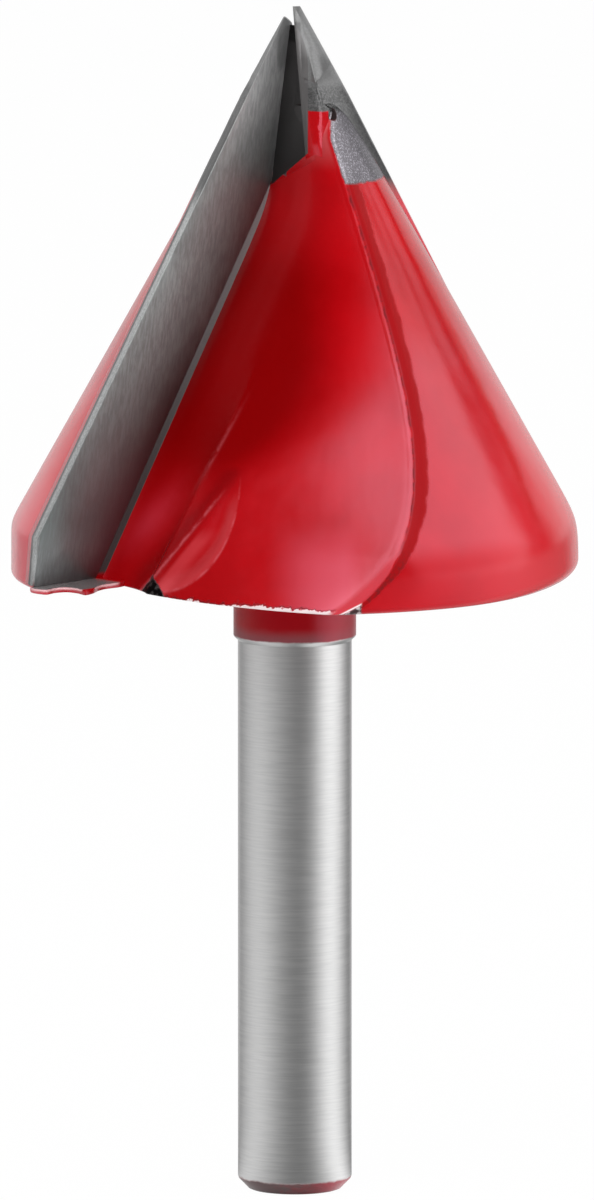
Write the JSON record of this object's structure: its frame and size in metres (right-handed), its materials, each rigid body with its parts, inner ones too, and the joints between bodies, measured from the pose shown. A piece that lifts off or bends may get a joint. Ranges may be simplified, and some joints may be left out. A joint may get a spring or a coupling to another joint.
{
  "type": "v-groove router bit",
  "caption": "Straight-shank V-groove router bit with a red conical steel head, milled gullets and flat carbide blades brazed into seats that meet at the point.",
  "frame": {"origin": "centre of the shank's end face", "axes": "+Z along the tool's axis from the shank's end to the point; blade 1 is at -X and its rake face looks towards -Y"},
  "size_m": [0.0316, 0.031, 0.0665],
  "materials": {
    "painted_steel": "gloss red paint on the head, bare ground steel on the shank",
    "carbide": "ground sintered carbide, fine grinding marks"
  },
  "bodies": {
    "root": {"cutter_body": "painted_steel", "carbide_blade_1": "carbide", "carbide_blade_2": "carbide"}
  },
  "joints": []
}
